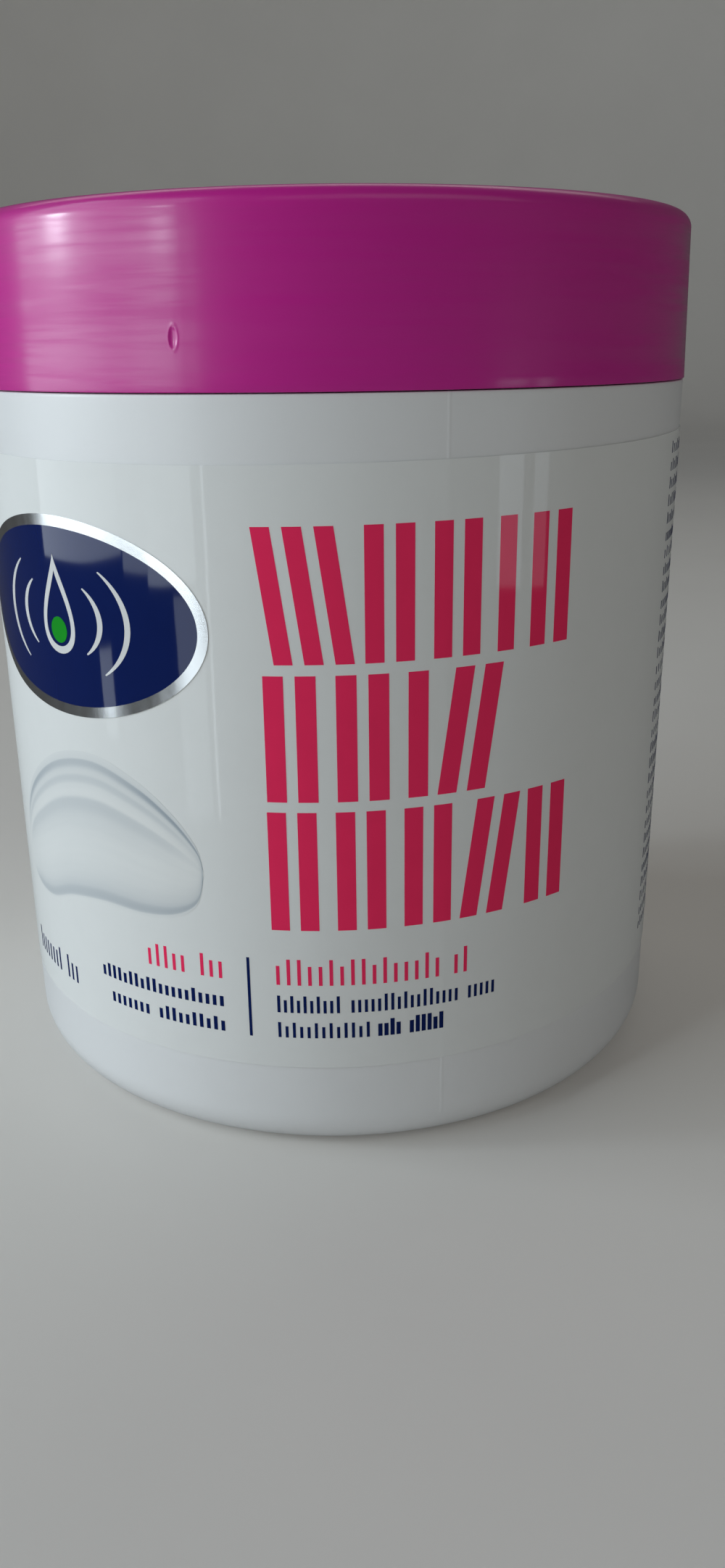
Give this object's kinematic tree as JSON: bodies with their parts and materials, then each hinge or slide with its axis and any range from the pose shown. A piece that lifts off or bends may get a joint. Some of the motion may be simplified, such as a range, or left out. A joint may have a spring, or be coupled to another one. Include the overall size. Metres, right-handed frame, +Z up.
{
  "type": "cosmetic cream jar",
  "caption": "Wide-mouth white plastic cream jar with a flush magenta screw lid, foam liner, wrap-round film label, oval foil badge and its cream.",
  "frame": {"origin": "centre of the foot, on the jar's axis, on the surface it stands on", "axes": "+Z up along the jar's axis; -Y towards the label's front; +X to the right of the label's front"},
  "size_m": [0.09, 0.09, 0.107],
  "materials": {
    "white_moulding": "satin white polyolefin",
    "magenta_moulding": "satin magenta polypropylene",
    "liner_foam": "fine closed-cell white foam",
    "label_film": "glossy white film with crimson and navy print",
    "badge_foil": "bright foil with a navy printed field",
    "cream": "soft glossy off-white cream"
  },
  "bodies": {
    "jar": {"jar_body": "white_moulding", "wrap_label": "label_film", "badge_foil": "badge_foil", "cream_fill": "cream"},
    "liner": {"lid_liner": "liner_foam"},
    "lid": {"lid_shell": "magenta_moulding"}
  },
  "joints": [
    {"name": "lid_rise", "type": "slide", "parent": "jar", "child": "liner", "axis": [0, 0, 1], "range_m": [0, 0.0401]},
    {"name": "lid_turn", "type": "hinge", "parent": "liner", "child": "lid", "pos_m": [0, 0, 0.1], "axis": [0, 0, 1], "range_deg": [0, 1800]}
  ],
  "couplings": [
    {"joint": "lid_rise", "follows": "lid_turn", "m_per_rad": 0.0012732}
  ]
}
